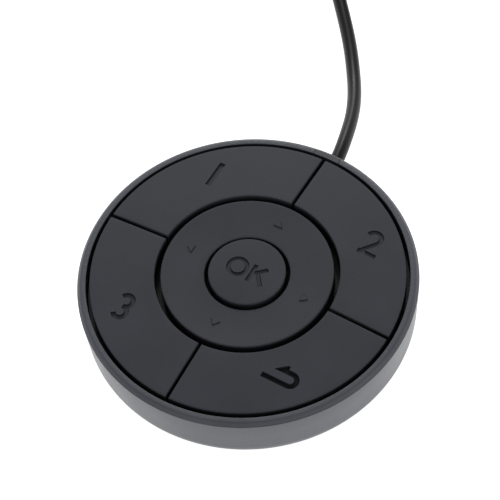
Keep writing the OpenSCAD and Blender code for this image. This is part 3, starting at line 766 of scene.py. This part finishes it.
makePiece("caseShell", caseParts(caseShell), "case", "case_plastic", caseFinish, "base_shell", sharp=35)
rimShells, rimPaintedShade = rimParts(rimRing)
makePiece("rimRing", rimShells, "case", "case_plastic", rimFinish, "rim_bezel", sunk=rimPaintedShade, sharp=35)
print("puck: case and rim made")


# Rubber domes under the keys

rubberDome = {
    "outline": [  # radius, height and rounding of each corner
        (0.3, 9.5, 0), (2.27, 9.5, 0.25), (2.27, 8.7, 0.25), (3.4, 7.1, 0.3),
        (3.4, 6.5, 0), (2.6, 6.5, 0), (2.6, 7.1, 0.2),
        (1.47, 8.3, 0.1), (1.13, 8.3, 0.05), (1.13, 7.3, 0.15), (0.3, 7.3, 0)],
    "sides": 48, "under": 6.5, "keep": 0.72,
    "spots": {  # circle and turn
        "key_1": (27.85, 135), "key_2": (27.85, 45), "key_3": (27.85, 225), "key_return": (27.85, 315),
        "up": (17.05, 90), "down": (17.05, 270), "left": (17.05, 180), "right": (17.05, 0), "ok": (0, 0)},
    "pressedBy": {"up": "ring_pitch", "down": "ring_pitch", "left": "ring_roll", "right": "ring_roll"},
}


def domePiece(c, name, spot):
    # hollow bell turned round its own middle, with a contact pill inside
    at = around(*spot)
    shell = turned(rounded(c["outline"]), at, c["sides"])
    dome = makePiece("rubberDome_" + name, [shell], "case", "silicone", siliconeLook, "dome_" + name)
    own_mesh(dome)


for name, spot in rubberDome["spots"].items():
    domePiece(rubberDome, name, spot)
print("puck: rubber domes made")


# Quarter keys

keyCaps = {
    "inner": 20.6, "outer": 35.1, "setBack": 0.4, "edge": 0.22, "outerHeight": 16.3, "crown": 360,
    "skirt": 12.9, "wall": 1.1, "top": 1.6, "soft": 0.16, "paintedGapShadeFrom": 15.7, "paintedGapShade": 0.8,
    "fine": 0.05, "coarse": 0.7, "fineFrom": 23.4, "fineTo": 32.9,
    "fineTurn": 11.5, "spanTurn": 87.2, "fineArc": 42.6, "coarseArc": 36, "signTurn": 0.2,
    "leg": 1.5, "head": 1.9, "legFoot": 9.6, "neck": 10.2, "core": 0.4, "legSides": 32, "postTurn": 22,
}
# dark sets the painted shade on each sign's sunk floor; the return arrow's is full
keySigns = {
    "key_1": {"turn": 90, "depth": 0.55, "dark": 0.05, "signs": [
        patch(stroke([(-19.75, 16.6), (-19.75, 23.4)], 1.2))]},
    "key_2": {"turn": 0, "depth": 0.5, "dark": 0.05, "signs": [
        patch(stroke(np.concatenate([arcLine((20.5, 21.2), 1.6, 165, -38), [(18.98, 16.52)]]), 1.0)),
        patch(stroke([(18.65, 16.78), (22.95, 16.78)], 1.0))]},
    "key_3": {"turn": 180, "depth": 0.55, "dark": 0.15, "signs": [
        patch(stroke(arcLine((-20.1, -18.43), 1.48, 150, -95), 1.05)),
        patch(stroke(arcLine((-20.1, -21.38), 1.48, 95, -150), 1.05))]},
    "key_return": {"turn": 270, "depth": 0.5, "dark": 1.0, "signs": [
        patch(stroke(np.concatenate([[(15.5, -20.9), (18.6, -20.9)], arcLine((21.7, -19.4), 1.5, -90, 90),
                                     [(19.6, -17.9)]]), 1.1)),
        patch([(17.5, -18.45), (19.8, -16.55), (20.3, -16.55), (20.3, -18.45)])]},
}


def crownHeight(c, r):
    # height on a large ball that passes through the outer edge, by the distance from the middle
    return c["outerHeight"] + np.sqrt(c["crown"] ** 2 - r * r) - math.sqrt(c["crown"] ** 2 - c["outer"] ** 2)


def quarter(c, u, v, inset):
    # point of a quarter ring: u runs from the inner to the outer arc, v from one straight side to the other
    r = c["inner"] + inset + u * (c["outer"] - c["inner"] - 2 * inset)
    lead = np.arcsin((c["setBack"] + inset) / r)
    return r, lead + v * (np.pi / 2 - 2 * lead)


def keyParts(c, mark):
    # domed quarter on a grid of radius by angle, rounded off to its four walls, with the sign sunk into it
    inEdge, drop = roundEdge(c["edge"])
    r, rowDrop = edgedRows(c)
    fineShare = c["fineTurn"] / c["spanTurn"]
    share = unevenLine(0, 0.5 - fineShare, 0.5 + fineShare, 1,
                       c["fine"] / c["fineArc"], c["coarse"] / c["coarseArc"])
    side = np.arcsin((c["setBack"] + inEdge)[None] / r)
    lead = np.arcsin((c["setBack"] + c["edge"]) / r)
    a = np.concatenate([side, lead + share[None] * (np.pi / 2 - 2 * lead), np.pi / 2 - side[:, ::-1]], 1)
    colDrop = np.concatenate([drop, 0 * share, drop[::-1]])[None]
    spin = math.radians(mark["turn"])
    x, y = r * np.cos(a + spin), r * np.sin(a + spin)
    sunk = np.zeros(a.shape)
    window = np.ix_((r[:, 0] > c["fineFrom"]) & (r[:, 0] < c["fineTo"]),
                    np.abs(a[len(a) // 2] - np.pi / 4) < c["signTurn"])
    sunk[window] = sinkInto(x[window], y[window], mark["signs"], c["soft"])
    z = crownHeight(c, r) - np.maximum(rowDrop, colDrop) - mark["depth"] * sunk
    rows, cols = a.shape
    number = np.arange(rows * cols).reshape(rows, cols)
    loop = np.concatenate([number[0], number[1:, -1], number[-1, -2::-1], number[-2:0:-1, 0]])
    # walls go down past the line where painted gap shade starts, to the skirt, in by the wall's thickness and
    # up again to the underside
    u = np.broadcast_to((r - c["inner"]) / (c["outer"] - c["inner"]), a.shape).ravel()[loop]
    leadOut = np.arcsin(c["setBack"] / r)
    v = ((a - leadOut) / (np.pi / 2 - 2 * leadOut)).ravel()[loop]
    walls = ((0, c["paintedGapShadeFrom"]), (0, c["skirt"]), (c["wall"], c["skirt"]), (c["wall"], None))
    loops = []
    for inset, foot in walls:
        lr, la = quarter(c, u, v, inset)
        height = np.full(len(loop), foot) if foot else crownHeight(c, lr) - c["top"]
        loops.append(np.stack([lr * np.cos(la + spin), lr * np.sin(la + spin), height], -1))
    top = np.stack([x, y, z], -1).reshape(-1, 3)
    numbers = [loop] + [np.arange(len(loop)) + len(top) + k * len(loop) for k in range(len(walls))]
    faces = [gridQuads(rows, cols), *[band(*pair) for pair in zip(numbers, numbers[1:])]]
    faces.append(numbers[-1][None, ::-1])
    # painted shade: on the sign's floor and walls, and on the key's walls down in the gaps round it
    shade = np.append(paintedShadeOf(sunk, mark["dark"]), np.full(len(walls) * len(loop), c["paintedGapShade"]))
    return [(np.concatenate([top, *loops]), faces)] + keyLegs(c, mark["turn"]), shade


def keyLegs(c, turn):
    # a pusher in the middle of the cap and a snap post at each side of it, turned from their outlines
    middle = (c["inner"] + c["outer"]) / 2
    roof = crownHeight(c, middle) - c["top"] / 2
    leg, head, core, foot, neck = c["leg"], c["head"], c["core"], c["legFoot"], c["neck"]
    pusher = [(core, foot), (leg, foot), (leg, roof), (core, roof)]
    post = [(core, foot), (head, foot), (head, neck), (leg, neck), (leg, roof), (core, roof)]
    return [turned(outline, around(middle, turn + 45 + aside), c["legSides"])
            for aside, outline in ((0, pusher), (-c["postTurn"], post), (c["postTurn"], post))]


for name, mark in keySigns.items():
    keyShells, keyPaintedShade = keyParts(keyCaps, mark)
    makePiece(name.replace("key_", "keyCap_"), keyShells, name, "key_plastic", keyFinish, name,
              sunk=keyPaintedShade, sharp=70)
print("puck: quarter keys made")


# Tilting ring

tiltRing = {
    "inner": 9.5, "outer": 19.2, "edge": 0.24, "innerHeight": 17.103, "dish": 0.4, "under": 15.285,
    "skirt": 12.72, "wall": 1.1, "paintedGapShadeFrom": 16.7, "paintedGapShade": 0.75,
    "arrowIn": 13.8, "arrowOut": 15.3, "arrowHalf": 1.1, "rise": 0.28, "soft": 0.16,
    "fine": 0.05, "coarse": 0.6, "fineFrom": 13.2, "fineTo": 15.9,
    "fineTurn": 0.12, "fineRadius": 15, "coarseTurn": 0.025,
    "pusherCircle": 17.05, "pusher": 1.5, "pusherFoot": 9.6, "core": 0.4, "bite": 0.4, "legSides": 32,
}
ringLug = {
    "near": 12.8, "far": 14.4, "width": 3.6, "foot": 12.3, "rise": 2.1,
    "axle": 13.583, "hole": 0.85, "sides": 48,
}


def tiltParts(c):
    # dished ring on a grid of radius by angle: its height grows with the square of the way out
    r, rowDrop = edgedRows(c)
    one = unevenLine(-np.pi / 4, -c["fineTurn"], c["fineTurn"], np.pi / 4,
                     c["fine"] / c["fineRadius"], c["coarseTurn"])[:-1]
    a = np.concatenate([one + k * np.pi / 2 for k in range(4)])
    local = np.concatenate([one] * 4)
    # an arrow stands out of it at each quarter
    arrow = patch([(c["arrowIn"], -c["arrowHalf"]), (c["arrowOut"], 0), (c["arrowIn"], c["arrowHalf"])])
    proud = np.zeros((len(r), len(a)))
    window = np.ix_((r[:, 0] > c["fineFrom"]) & (r[:, 0] < c["fineTo"]), np.abs(local) < c["fineTurn"])
    proud[window] = sinkInto((r * np.cos(local))[window], (r * np.sin(local))[window], [arrow], c["soft"])
    wayOut = (r - c["inner"]) / (c["outer"] - c["inner"])
    z = c["innerHeight"] + c["dish"] * wayOut ** 2 - rowDrop + c["rise"] * proud
    top = np.stack([r * np.cos(a), r * np.sin(a), z], -1)
    inWall = c["outer"] - c["wall"]
    low = [(c["outer"], c["paintedGapShadeFrom"]), (c["outer"], c["skirt"]), (inWall, c["skirt"]),
           (inWall, c["under"]), (c["inner"], c["under"]), (c["inner"], c["paintedGapShadeFrom"])]
    # painted shade along the arrows' steep sides, and on the ring's walls down in the gaps round it
    shade = np.append(paintedShadeOf(proud, 0), np.full(len(low) * len(a), c["paintedGapShade"]))
    parts = [lofted(np.concatenate([top, ringLoops(low, a)]), True)] + hangingLugs(ringLug)
    roof = c["under"] + c["bite"]
    leg = [(c["core"], c["pusherFoot"]), (c["pusher"], c["pusherFoot"]), (c["pusher"], roof), (c["core"], roof)]
    return parts + [turned(leg, around(c["pusherCircle"], 90 * k), c["legSides"]) for k in range(4)], shade


def hangingLugs(c):
    # blocks under the ring at +Y and -Y for the inner axles: a round hole in a plate with straight sides
    a = evenTurn(c["sides"])
    across, up = np.cos(a), np.sin(a)
    upward = np.where(up > 0, up / c["rise"], -up / (c["axle"] - c["foot"]))
    reach = 1 / np.maximum(np.abs(across) / (c["width"] / 2), upward)
    parts = []
    for side in (1, -1):
        rings = ((c["hole"], c["near"]), (reach, c["near"]), (reach, c["far"]), (c["hole"], c["far"]))
        loops = [np.stack([size * across * side, np.full(c["sides"], y * side), c["axle"] + size * up], -1)
                 for size, y in rings]
        parts.append(lofted(np.stack(loops), True))
    return parts


ringShells, ringPaintedShade = tiltParts(tiltRing)
makePiece("tiltRing", ringShells, "ring", "key_plastic", keyFinish, "tilt_ring", sunk=ringPaintedShade, sharp=58)
print("puck: tilting ring made")


# Centre button

okButton = {
    "radius": 8.6, "edge": 0.22, "edgeHeight": 17.953, "crown": 360, "skirt": 12.9, "wall": 1.1, "top": 1.6,
    "stem": 3, "stemHead": 3.4, "stemFoot": 9.6, "stemCore": 0.5, "neck": 10.2, "depth": 0.46, "soft": 0.15,
    "core": 0.2, "fineFrom": 0.3, "fineTo": 5.6, "fine": 0.05, "coarse": 0.4, "sides": 600,
    "dark": 0.05, "paintedGapShadeFrom": 17.2, "paintedGapShade": 0.75,
}
okSigns = [
    hoop((-2.4, 0.15), 2.1, 0.85), patch(stroke([(1.2, -2.2), (1.2, 2.3)], 0.85)),
    patch(stroke([(1.5, 0.0), (4.1, 2.3)], 0.85)), patch(stroke([(2.4, 0.6), (4.6, -2.2)], 0.85)),
]


def okParts(c):
    # shallow dome on rings of points: its height falls with the square of the radius; letters sink into it
    inEdge, drop = roundEdge(c["edge"])
    radius = c["radius"]
    flat = unevenLine(c["core"], c["fineFrom"], c["fineTo"], radius - c["edge"], c["fine"], c["coarse"])
    r = np.concatenate([flat, radius - inEdge[::-1]])[:, None]
    rowDrop = np.concatenate([0 * flat, drop[::-1]])[:, None]
    a = evenTurn(c["sides"])
    x, y = r * np.cos(a), r * np.sin(a)
    sunk = np.zeros(x.shape)
    inside = r[:, 0] < c["fineTo"]
    sunk[inside] = sinkInto(x[inside], y[inside], okSigns, c["soft"])
    z = c["edgeHeight"] + (radius ** 2 - r * r) / c["crown"] - rowDrop - c["depth"] * sunk
    roof, inWall = c["edgeHeight"] - c["top"], radius - c["wall"]
    low = [(radius, c["paintedGapShadeFrom"]), (radius, c["skirt"]), (inWall, c["skirt"]), (inWall, roof),
           (c["stem"], roof), (c["stem"], c["neck"]), (c["stemHead"], c["neck"]),
           (c["stemHead"], c["stemFoot"]), (c["stemCore"], c["stemFoot"])]
    rows = np.concatenate([np.stack([x, y, z], -1), ringLoops(low, a)])
    # painted shade in the letters and on the button's wall down in the gap round it
    return [lofted(rows)], np.append(paintedShadeOf(sunk, c["dark"]), np.full(len(low) * len(a), c["paintedGapShade"]))


okShells, okPaintedShade = okParts(okButton)
makePiece("okButton", okShells, "ok", "key_plastic", keyFinish, "ok_button", sunk=okPaintedShade, sharp=70)
print("puck: centre button made")


# Stage

studio = {
    "tableHalf": 3000, "floorTone": 0.8, "floorGlow": 0.85,
    "sky": 0.56, "ceiling": 0.3, "horizon": (0.25, 0.75),
    "lamps": {
        "farLamp": {"place": (-1000, 1700, 1300), "size": 900, "power": 20.0},
        "rightLamp": {"place": (1700, 100, 900), "size": 1000, "power": 4.0},
    },
}


def seenShare(nodes):
    # one where the camera, a reflection or a clear solid looks, none for plain light
    path = nodes.add("LightPath")
    total = path.outputs["Is Camera Ray"]
    for name in ("Is Glossy Ray", "Is Transmission Ray"):
        total = nodes.add("Math", {0: total, 1: path.outputs[name]}, operation="MAXIMUM").outputs[0]
    return total


def makeTable(c):
    # pale square that glows where it is seen, so that it shows white and still keeps a shadow
    half = c["tableHalf"] * mm
    mesh = bpy.data.meshes.new("tableTop")
    corners = [(-half, -half, 0), (half, -half, 0), (half, half, 0), (-half, half, 0)]
    mesh.from_pydata(corners, [], [(0, 1, 2, 3)])
    table = bpy.data.objects.new("tableTop", mesh)
    scene.collection.objects.link(table)
    f = Finish("tableTop")
    glow = f.add("Math", {0: seenShare(f), 1: c["floorGlow"]}, operation="MULTIPLY").outputs[0]
    f.shade(Base_Color=(c["floorTone"],) * 3 + (1,), Roughness=1, Specular_IOR_Level=0)
    f.shade(Emission_Color=(1, 1, 1, 1), Emission_Strength=glow)
    mesh.materials.append(f.material)


def makeSky(c):
    # white round the horizon and a dim ceiling where it is seen, one plain level as light
    world = bpy.data.worlds.new("studioWorld")
    world.use_nodes = True
    scene.world = world
    sky = Nodes(world.node_tree)
    background = sky.tree.nodes["Background"]
    height = sky.add("SeparateXYZ", {"Vector": sky.add("TexCoord").outputs["Generated"]}).outputs["Z"]
    seen = sky.spread(height, 1, c["ceiling"], *c["horizon"])
    sky.put((1, 1, 1, 1), background.inputs["Color"])
    sky.put(sky.spread(seenShare(sky), c["sky"], seen, 0, 1), background.inputs["Strength"])


def makeLamps(c):
    # square lamps that face the middle of the table
    for name, lamp in c["lamps"].items():
        light = bpy.data.lights.new(name, "AREA")
        light.size, light.energy = lamp["size"] * mm, lamp["power"]
        place = Vector(lamp["place"]) * mm
        made = bpy.data.objects.new(name, light)
        made.matrix_world = Matrix.Translation(place) @ place.to_track_quat("Z", "Y").to_matrix().to_4x4()
        scene.collection.objects.link(made)


makeTable(studio)
makeSky(studio)
makeLamps(studio)
print("puck: stage and lamps set")
